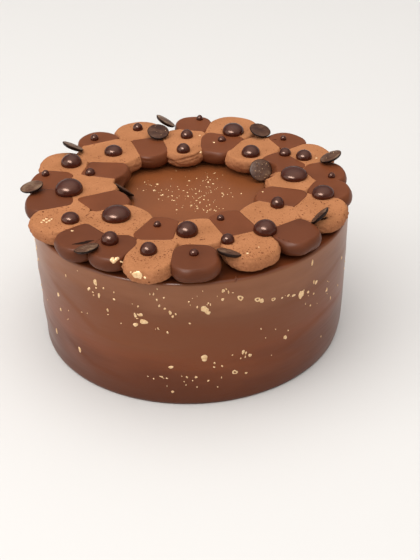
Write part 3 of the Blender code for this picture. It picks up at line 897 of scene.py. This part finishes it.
def make_marks(dollops, pore_shade, slit_shade, rng):
    """Painted shade of larger pores, nicks and slits in the flats."""
    surfaces = Surfaces(dollops)
    marks = []
    for x, y, spread, count in PORE_CLUSTERS:
        for _ in range(count):
            size = rng.uniform(*PORE_CLUSTER_SIZE)
            width = size * rng.uniform(*PORE_CLUSTER_WIDTH)
            plan = leaf_outline(size, width, rng.uniform(0, 180), rng)
            marks.append((*rng.normal((x, y), spread), plan))
    marks += [(x, y, leaf_outline(*form, rng)) for x, y, *form in MARKS]
    add_marks("mousse_nick_shade", surfaces, marks, pore_shade, "tan_mousse")
    marks = [(x, y, leaf_outline(*form, rng)) for x, y, *form in DARK_MARKS]
    add_marks("ganache_slit_shade", surfaces, marks, slit_shade, "dark_ganache")


# ---- body

def body_rows():
    """Radius and height of the rows of the body, from near its axis to its underside."""
    inner = BODY_SIDE[0][1] - BODY_RIM
    rows = [(inner * share, BODY_TOP) for share in np.linspace(0.03, 1, BODY_TOP_ROWS)]
    for bend in np.linspace(10, 80, 8):
        turn = math.radians(bend)
        rows.append(
            (inner + BODY_RIM * math.sin(turn), BODY_TOP - BODY_RIM * (1 - math.cos(turn)))
        )
    rows += [(r, z) for z, r in spline(BODY_SIDE, BODY_SIDE_ROWS)]
    rows += [(BODY_SIDE[-1][1] * share, 0.0) for share in (0.7, 0.35)]
    return rows


def stroke_relief(line, turn, z):
    """A stroke: a short slope above its line and a long one below, ending softly."""
    first, last = line[0][0], line[-1][0]
    middle = (first + last) / 2
    along = (np.degrees(turn) - middle + 180) % 360 - 180 + middle
    directions, heights = zip(*line)
    above = z - np.interp(along, directions, heights)
    shape = bell(above, np.where(above > 0, STROKE_ABOVE, STROKE_BELOW))
    return shape * ease(np.clip(np.minimum(along - first, last - along) / STROKE_ENDS, 0, 1))


def body_waves(turn, z):
    """Shallow waves and the strokes of the spatula in the glazed side."""
    wave = np.zeros(len(turn))
    for height, lobes, phase, climb in BODY_WAVES:
        wave += height * np.sin(lobes * turn + phase + z / climb)
    for line, step in STROKES:
        wave += step * stroke_relief(line, turn, z)
    return wave


def make_body(material):
    turn, way = circle(BODY_STEPS)
    rows = []
    for radius, z in body_rows():
        share = min(max((radius - WAVES_FROM) / WAVES_GROW, 0), 1) * min(z / WAVES_RISE, 1)
        r = radius + share * (body_waves(turn, z) + BODY_LEAN * way[:, 0])
        rows.append(level_ring(way * r[:, None], z))
    mesh = rings_mesh("cake_glaze", np.stack(rows), (0, 0, BODY_TOP), (0, 0, 0))
    return add_piece("cake_glaze", mesh, material, "glaze", "cake_body")


# ---- gold

class Surfaces:
    """The outer surfaces of some pieces, for laying flakes and marks on them."""

    def __init__(self, pieces):
        verts, faces = [], []
        for piece in pieces:
            base = len(verts)
            verts += [v.co / MM for v in piece.data.vertices]
            faces += [[base + k for k in p.vertices] for p in piece.data.polygons]
        self.tree = BVHTree.FromPolygons(verts, faces)

    def hit(self, start, way, far=2 * FAR):
        place, normal, _, _ = self.tree.ray_cast(Vector(start), Vector(way), far)
        return place, normal


def top_ray(x, y):
    """A ray from above straight down."""
    return (x, y, TOP_RAY), (0, 0, -1)


def side_ray(turn, z):
    """A ray from outside straight at the cake's axis."""
    way = np.array((math.cos(math.radians(turn)), math.sin(math.radians(turn)), 0))
    return (*(way[:2] * SIDE_RAY), z), tuple(-way)


def flake(surfaces, start, way, size, rng, stretch=1.0, form=FLAKE_SOLID):
    """A thin irregular flake laid on the surface that a ray from start meets."""
    place, normal = surfaces.hit(start, way)
    if place is None:
        return None
    across = normal.cross(Vector((0, 0, 1)))
    if across.length < FLAKE_LEVEL:
        across = Vector((1, 0, 0))
    across.normalize()
    along = normal.cross(across)
    plan = patch_outline(size, FLAKE_STEPS, rng) * (1 / math.sqrt(stretch), math.sqrt(stretch))
    rings = []
    for share, lift in form:
        ring = []
        lift = lift + rng.uniform(0, FLAKE_CRINKLE, FLAKE_STEPS) * (share < 1)
        for (u, v), rise in zip(plan * share, lift):
            above = place + across * u + along * v + normal * FLAKE_PROBE
            spot, _ = surfaces.hit(above, -normal, 2 * FLAKE_PROBE)
            spot = spot if spot is not None else above - normal * FLAKE_PROBE
            ring.append(np.array(spot + normal * float(rise)))
        rings.append(np.array(ring))
    return rings


def flakes_mesh(name, flakes):
    """One mesh of flakes; each is a row of rings from its rim inwards."""
    verts, faces = [], []
    for rings in flakes:
        base, steps = len(verts), len(rings[0])
        verts += [tuple(p) for p in np.vstack(rings) * MM]
        for row in range(len(rings) - 1):
            a, b = base + row * steps, base + (row + 1) * steps
            faces += [
                (a + k, a + (k + 1) % steps, b + (k + 1) % steps, b + k) for k in range(steps)
            ]
    return smooth_mesh(name, verts, faces)


def scattered(clusters, rng):
    """Spots strewn round the middles of clusters: first and second coordinate, size."""
    for middle_a, middle_b, spread_a, spread_b, count in clusters:
        for _ in range(count):
            a = rng.normal(middle_a, spread_a)
            b = rng.normal(middle_b, spread_b)
            yield a, b, float(np.clip(rng.lognormal(*SPECK_SPREAD), *SPECK_LIMITS))


def gold_on_body(surfaces, rng):
    for turn, z, size, stretch, *hollow in GOLD_ON_SIDE:
        form = FLAKE_HOLLOW if hollow else FLAKE_SOLID
        yield flake(surfaces, *side_ray(turn, z), size, rng, stretch, form)
    for turn, z, size in scattered(GOLD_SIDE_CLUSTERS, rng):
        if GOLD_LOWEST < z < GOLD_HIGHEST:
            yield flake(surfaces, *side_ray(turn, z), size, rng, rng.uniform(*SIDE_STRETCH))
    for x, y, size in (*GOLD_ON_TOP, *scattered(GOLD_TOP_CLUSTERS, rng)):
        size *= TOP_SPECKS
        yield flake(surfaces, *top_ray(x, y), size, rng, rng.uniform(*TOP_STRETCH))


def gold_on_ring(surfaces, rng):
    for x, y, size in GOLD_ON_DOLLOPS:
        yield flake(surfaces, *top_ray(x, y), size, rng)
    for turn, z, size in GOLD_ON_RING_SIDE:
        yield flake(surfaces, *side_ray(turn, z), size, rng)


def gold_on_disc(surfaces, name, count, size, rng):
    """Specks on the side of a disc that shows."""
    centre, looks = (Vector(v) for v in DISCS[name])
    looks.normalize()
    across = looks.cross(Vector((0, 0, 1))).normalized()
    along = looks.cross(across)
    for _ in range(count):
        far = DISC_RADIUS * DISC_SPECKS_WITHIN * math.sqrt(rng.uniform())
        turn = rng.uniform(0, TURN)
        spot = centre + across * far * math.cos(turn) + along * far * math.sin(turn)
        scale = rng.uniform(*DISC_SPECK_SIZES)
        yield flake(surfaces, spot + looks * DISC_RAY, -looks, size * scale, rng)


def make_gold(body, dollops, discs, material, rng):
    flakes = [*gold_on_body(Surfaces([body]), rng), *gold_on_ring(Surfaces(dollops), rng)]
    for name, count, size in GOLD_ON_DISCS:
        flakes += gold_on_disc(Surfaces([discs[name]]), name, count, size, rng)
    flakes = [rings for rings in flakes if rings is not None]
    add_piece("gold_flakes", flakes_mesh("gold_flakes", flakes), material, "glaze")


def make_drip(body, material, rng):
    x, y, size, stretch = DRIP
    rings = flake(Surfaces([body]), *top_ray(x, y), size, rng, stretch, DRIP_FORM)
    add_piece("glaze_drip", flakes_mesh("glaze_drip", [rings]), material, "glaze")


# ---- pearls and discs

def dome_profile(half_width, height, rows):
    """Radius and height of a dome's rows, from near its tip down and in under its lip."""
    widest = DOME_WIDEST * half_width
    points = []
    for bend in np.linspace(0, 90, rows + 1)[1:]:
        roll = math.radians(bend)
        points.append((half_width * math.sin(roll), widest + (height - widest) * math.cos(roll)))
    for bend in (30, 60, 90):
        roll = math.radians(bend)
        tuck = DOME_BASE + (1 - DOME_BASE) * math.cos(roll)
        points.append((half_width * tuck, widest * (1 - math.sin(roll)) - DOME_SUNK))
    return points


def mark_dome(points, pearl, marks):
    """Press small dimples or tips into a dome."""
    x, y, half_width, _ = pearl
    for across, along, width, height in marks:
        spot = np.array((x + across * half_width, y + along * half_width))
        far = np.linalg.norm(points[..., :2] - spot, axis=-1)
        points[..., 2] += height * bell(far, width)


def pearl_mesh(name, pearl, steps, rows, rng, marks=()):
    """A hand-piped dome: not quite round, its tip not quite in the middle."""
    x, y, half_width, height = pearl
    turn, way = circle(steps)
    uneven = np.ones(steps)
    for (lobes, amount), phase in zip(PEARL_LOBES, rng.uniform(0, TURN, len(PEARL_LOBES))):
        uneven += amount * np.sin(lobes * turn + phase)
    lean = rng.uniform(-PEARL_LEAN, PEARL_LEAN, 2) * half_width
    points = []
    for r, z in dome_profile(half_width, height, rows):
        share = max(z, 0) / height
        ring = np.array((x, y)) + way * (r * uneven)[:, None] + lean * share * share
        points.append(level_ring(ring, FLAT_Z + z))
    points = np.stack(points)
    top = np.array([[(x + lean[0], y + lean[1], FLAT_Z + height)]])
    for part in (points, top):
        mark_dome(part, pearl, marks)
    return rings_mesh(name, points, tuple(top[0, 0]), (x, y, FLAT_Z - DOME_SUNK))


def joined(name, meshes):
    """One mesh out of several."""
    verts, faces, base = [], [], 0
    for mesh in meshes:
        verts += [v.co[:] for v in mesh.vertices]
        faces += [[base + k for k in p.vertices] for p in mesh.polygons]
        base += len(mesh.vertices)
        bpy.data.meshes.remove(mesh)
    return smooth_mesh(name, verts, faces)


def make_pearls(material, rng):
    for name, pearl in PEARLS.items():
        piece = name + "_glossy"
        mesh = pearl_mesh(piece, pearl, *PEARL_MESH, rng, PEARL_MARKS.get(name, ()))
        add_piece(piece, mesh, material, "pearl_chocolate", name)
    small = [pearl_mesh("small", pearl, *SMALL_PEARL_MESH, rng) for pearl in SMALL_PEARLS]
    add_piece("small_pearls", joined("small_pearls", small), material, "pearl_chocolate")


def disc_points(name, rng):
    """Rows of points of a disc round its own axis, with a rough face and rim."""
    _, way = circle(DISC_STEPS)
    rows = np.vstack([spline(DISC_UPPER, DISC_ROWS), spline(DISC_LOWER, DISC_ROWS)])
    points = np.stack([level_ring(way * r, z) for r, z in rows])
    uneven = ROUGH_DISCS.get(name, DISC_UNEVEN)
    ripple = wave_noise(points, rng, *DISC_RIPPLES)
    shrink = 1 - uneven * np.clip(ripple, 0, 2) / DISC_RADIUS
    points[..., :2] *= shrink[..., None]
    points[..., 2] -= uneven * np.abs(ripple) * (points[..., 2] > DISC_LOWER[0][1])
    return points


def make_disc(name, centre, looks, face, edge, rng):
    """A disc with a bloomed face; its rim and underside are chocolate without bloom, painted darker
    still as shade.
    """
    piece = name + "_bloomed"
    tips = ((0, 0, DISC_UPPER[0][1]), (0, 0, DISC_LOWER[-1][1]))
    mesh = rings_mesh(piece, disc_points(name, rng), *tips)
    place = Matrix.Translation(Vector(centre) * MM)
    mesh.transform(place @ Vector(looks).to_track_quat("Z", "Y").to_matrix().to_4x4())
    disc = add_piece(piece, mesh, face, "disc_chocolate", name)
    mesh.materials.append(edge)
    on_face = DISC_STEPS * (DISC_ROWS - 2)
    tip = len(mesh.polygons) - 2 * DISC_STEPS
    for poly in mesh.polygons:
        if on_face <= poly.index < tip or poly.index >= tip + DISC_STEPS:
            poly.material_index = 1
    return disc


def make_discs(rng):
    """All discs, with a face material for each amount of bloom."""
    edge = plain_material("disc_edge_shade_look")
    faces, discs = {}, {}
    for name, place in DISCS.items():
        bloom = DISC_BLOOM.get(name, 0.0)
        if bloom not in faces:
            faces[bloom] = disc_face_material(f"disc_face_look_{len(faces)}", bloom)
        discs[name] = make_disc(name, *place, faces[bloom], edge, rng)
    return discs


# ---- materials

def feed(tree, node, inputs):
    """Give some inputs of a node a value or a link."""
    for key, value in inputs.items():
        if isinstance(value, bpy.types.NodeSocket):
            tree.links.new(value, node.inputs[key])
        else:
            node.inputs[key].default_value = value
    return node


def new_material(name, inputs):
    mat = bpy.data.materials.new(name)
    mat.use_nodes = True
    tree = mat.node_tree
    return mat, tree, feed(tree, tree.nodes["Principled BSDF"], inputs)


def maths(tree, operation, *values, clamp=False):
    node = tree.nodes.new("ShaderNodeMath")
    node.operation = operation
    node.use_clamp = clamp
    return feed(tree, node, dict(enumerate(values))).outputs[0]


def object_place(tree):
    return tree.nodes.new("ShaderNodeTexCoord").outputs["Object"]


def object_height(tree):
    parts = tree.nodes.new("ShaderNodeSeparateXYZ")
    return feed(tree, parts, {"Vector": object_place(tree)}).outputs["Z"]


def axis_distance(tree):
    """Distance from the cake's axis."""
    level, length = (tree.nodes.new("ShaderNodeVectorMath") for _ in range(2))
    level.operation = "MULTIPLY"
    feed(tree, level, {0: object_place(tree), 1: (1, 1, 0)})
    length.operation = "LENGTH"
    return feed(tree, length, {0: level.outputs["Vector"]}).outputs["Value"]


def object_noise(tree, scale, detail, rough=0.5, stretch=(1, 1, 1)):
    """Noise in the piece's own space; the scale is per metre."""
    spread = tree.nodes.new("ShaderNodeMapping")
    feed(tree, spread, {"Vector": object_place(tree), "Scale": stretch})
    noise = tree.nodes.new("ShaderNodeTexNoise")
    feed(tree, noise, {"Vector": spread.outputs["Vector"], "Scale": scale})
    return feed(tree, noise, {"Detail": detail, "Roughness": rough}).outputs["Fac"]


def ramp(tree, value, stops):
    node = tree.nodes.new("ShaderNodeValToRGB")
    first, last = node.color_ramp.elements
    first.position, first.color = stops[0][0], (*stops[0][1], 1)
    last.position, last.color = stops[-1][0], (*stops[-1][1], 1)
    for at, colour in stops[1:-1]:
        node.color_ramp.elements.new(at).color = (*colour, 1)
    return feed(tree, node, {"Fac": value}).outputs["Color"]


def bump(tree, shader, height, strength, distance):
    node = tree.nodes.new("ShaderNodeBump")
    feed(tree, node, {"Strength": strength, "Distance": distance, "Height": height})
    tree.links.new(node.outputs["Normal"], shader.inputs["Normal"])


def add_scaled(tree, first, first_scale, second, second_scale):
    """first * scale + second * scale."""
    part = maths(tree, "MULTIPLY", first, first_scale)
    return maths(tree, "MULTIPLY_ADD", second, second_scale, part)


def shifted(tree, value, shift):
    """A value moved up or down and held between 0 and 1."""
    return maths(tree, "ADD", value, shift, clamp=True)


def mixed(tree, share, low, high):
    """One colour for a share of 0 and another for a share of 1."""
    node = tree.nodes.new("ShaderNodeMix")
    node.data_type = "RGBA"
    tree.links.new(share, node.inputs["Factor"])
    colours = [socket for socket in node.inputs if socket.type == "RGBA"]
    for colour, socket in zip((low, high), colours):
        tree.links.new(colour, socket)
    return next(socket for socket in node.outputs if socket.type == "RGBA")


def fade(tree, value, start, length):
    """From 0 at a start, in millimetres, to 1 a length further on."""
    node = tree.nodes.new("ShaderNodeMapRange")
    ends = {"From Min": start * MM, "From Max": (start + length) * MM}
    return feed(tree, node, {"Value": value, **ends}).outputs["Result"]


def paint(tree, shader, colour):
    tree.links.new(colour, shader.inputs["Base Color"])


def plain_material(name):
    """A look whose colour drifts with a noise; the edges of discs are rough as well."""
    tones, scale, detail, inputs = PLAIN_LOOKS[name]
    mat, tree, shader = new_material(name, inputs)
    cloud = object_noise(tree, scale, detail)
    paint(tree, shader, ramp(tree, cloud, tones))
    if name == "disc_edge_shade_look":
        bump(tree, shader, cloud, strength=0.3, distance=0.0003)
    return mat


def glaze_material():
    """Painted shade: darker and redder low down, warm half way and greyer near the rim, with long
    soft clouds; the ledge outside the dollops is painted darker as shade.
    """
    mat, tree, shader = new_material("glaze_look", {
        "Roughness": 0.32, SPECULAR: 0.27, "Sheen Weight": GLAZE_SHEEN,
        "Sheen Roughness": GLAZE_SHEEN_ROUGH, "Sheen Tint": (*GLAZE_SHEEN_TINT, 1),
    })
    height = object_height(tree)
    cloud = object_noise(tree, 14.0, 4.0, stretch=(1, 1, 3.4))
    # the height paints shade: the side gets darker towards the foot
    level = add_scaled(tree, height, GLAZE_SHADE_BY_HEIGHT / (BODY_TOP * MM), cloud, GLAZE_BY_CLOUD)
    side = ramp(tree, level, GLAZE_SIDE_SHADE_TONES)
    top = ramp(tree, cloud, GLAZE_TOP_TONES)
    # painted shade on the ledge under the rings of dollops
    ledge = ramp(tree, cloud, GLAZE_LEDGE_SHADE_TONES)
    top = mixed(tree, fade(tree, axis_distance(tree), LEDGE_SHADE_FROM, LEDGE_SHADE_FADE), top, ledge)
    share = fade(tree, height, BODY_TOP - BODY_RIM, BODY_RIM)
    paint(tree, shader, mixed(tree, share, side, top))
    fine = object_noise(tree, 60.0, 3.0, stretch=(1, 1, 6))
    bump(tree, shader, fine, strength=0.2, distance=0.0006)
    return mat


def painted_foot_shade(tree, height, cloud, colour):
    """A colour with painted shade: it turns dark in the undercut just above the glaze."""
    foot = ramp(tree, cloud, FOOT_SHADE_TONES)
    return mixed(tree, fade(tree, height, FOOT_SHADE_TOP, FOOT_SHADE_FADE), foot, colour)


def tan_material():
    mat, tree, shader = new_material("tan_mousse_look", {"Roughness": 0.8, SPECULAR: 0.15})
    fine = object_noise(tree, 1000.0, 3.0)
    cloud = add_scaled(tree, object_noise(tree, 60.0, 4.0), 0.5, fine, 0.5)
    flat = ramp(tree, cloud, TAN_FLAT_TONES)
    # the sides take the darker ramp: painted shade
    side = ramp(tree, cloud, TAN_SIDE_SHADE_TONES)
    height = object_height(tree)
    colour = mixed(tree, fade(tree, height, FLAT_Z - TAN_SHADE_FADE, TAN_SHADE_FADE), side, flat)
    paint(tree, shader, painted_foot_shade(tree, height, cloud, colour))
    bump(tree, shader, fine, strength=0.45, distance=0.0003)
    return mat


def dark_material(name, shade):
    """Lighter on the pressed flats and painted darker down the sides as shade."""
    mat, tree, shader = new_material(name, {"Roughness": 0.42, SPECULAR: 0.14})
    cloud = object_noise(tree, 45.0, 3.0)
    shades = []
    # the sides take the ramp with painted shade
    for tones in (DARK_SIDE_SHADE_TONES, DARK_FLAT_TONES):
        tones = [(at, tuple(c * k for c, k in zip(colour, shade))) for at, colour in tones]
        shades.append(ramp(tree, cloud, tones))
    rise = 1 / (DARK_SHADE_FADE * MM)
    height = object_height(tree)
    share = add_scaled(tree, height, rise, cloud, DARK_BY_CLOUD)
    share = shifted(tree, share, DARK_FLAT_SHARE - FLAT_Z * MM * rise)
    colour = mixed(tree, share, *shades)
    paint(tree, shader, painted_foot_shade(tree, height, cloud, colour))
    bump(tree, shader, object_noise(tree, 1100.0, 2.0), strength=0.08, distance=0.0002)
    return mat


def disc_face_material(name, bloomed):
    """Dark chocolate with a grey-brown bloom and fine scratches."""
    mat, tree, shader = new_material(name, {"Roughness": 0.4, SPECULAR: 0.2})
    bloom = object_noise(tree, 170.0, 5.0, rough=0.65)
    scratch = object_noise(tree, 420.0, 3.0, rough=0.6, stretch=(0.25, 1.4, 1))
    level = add_scaled(tree, bloom, DISC_BY_BLOOM, scratch, DISC_BY_SCRATCH)
    paint(tree, shader, ramp(tree, shifted(tree, level, bloomed), DISC_FACE_TONES))
    bump(tree, shader, scratch, strength=0.35, distance=0.0003)
    return mat


# ---- stage

def add_camera():
    data = bpy.data.cameras.new("camera")
    data.lens = CAMERA_LENS
    data.sensor_width = SENSOR_WIDTH
    data.clip_start = CAMERA_NEAR
    camera = add_object("camera", data)
    down, roll = math.radians(CAMERA_DOWN), math.radians(CAMERA_ROLL)
    tilt = Matrix.Rotation(math.pi / 2 - down, 4, "X")
    camera.matrix_world = (
        Matrix.Translation(Vector(CAMERA_AT) * MM) @ tilt @ Matrix.Rotation(roll, 4, "Z")
    )
    bpy.context.scene.camera = camera


def add_floor():
    mesh = bpy.data.meshes.new("floor")
    corners = [(x * FLOOR_HALF, y * FLOOR_HALF, 0) for x, y in ((-1, -1), (1, -1), (1, 1), (-1, 1))]
    mesh.from_pydata(corners, [], [(0, 1, 2, 3)])
    mesh.materials.append(plain_material("floor_look"))
    add_object("floor", mesh)


def add_lights():
    for name, (place, (width, depth), power, in_gloss, in_matt) in LIGHTS.items():
        data = bpy.data.lights.new(name, "AREA")
        data.shape = "ELLIPSE"
        data.size = width
        data.size_y = depth
        data.energy = power
        data.color = LIGHT_COLOUR
        light = add_object(name, data)
        light.location = place
        light.rotation_mode = "QUATERNION"
        light.rotation_quaternion = (LIGHT_AIM - Vector(place)).to_track_quat("-Z", "Y")
        light.visible_glossy = in_gloss
        light.visible_diffuse = in_matt


def add_world():
    """Surroundings with a bright soft ceiling."""
    world = bpy.data.worlds.new("studio")
    world.use_nodes = True
    tree = world.node_tree
    place = tree.nodes.new("ShaderNodeTexCoord").outputs["Generated"]
    parts = feed(tree, tree.nodes.new("ShaderNodeSeparateXYZ"), {"Vector": place})
    levels = [(at, (level,) * 3) for at, level in SKY_LEVELS]
    level = ramp(tree, parts.outputs["Z"], levels)
    feed(tree, tree.nodes["Background"], {"Strength": level, "Color": (*SKY_COLOUR, 1)})
    bpy.context.scene.world = world
    bpy.context.scene.view_settings.view_transform = "Standard"


def main():
    rng = np.random.default_rng(SEED)
    add_camera()
    add_floor()
    add_lights()
    add_world()
    glaze = glaze_material()
    body = make_body(glaze)
    make_drip(body, glaze, rng)
    dark = dark_material("dark_ganache_look", DARK_SHADE)
    # a darker copy of the ganache: painted shade on the front dollops
    darker = dark_material("front_shaded_ganache_look", FRONT_PAINTED_SHADE)
    dollops = make_dark_dollops(dark, darker, rng)
    pore_shade = plain_material("pore_shade_look")
    dollops += make_tan_dollops(tan_material(), pore_shade, rng)
    make_marks(dollops, pore_shade, plain_material("slit_shade_look"), rng)
    make_pearls(plain_material("pearl_look"), rng)
    discs = make_discs(rng)
    make_gold(body, dollops, discs, plain_material("gold_look"), rng)


main()
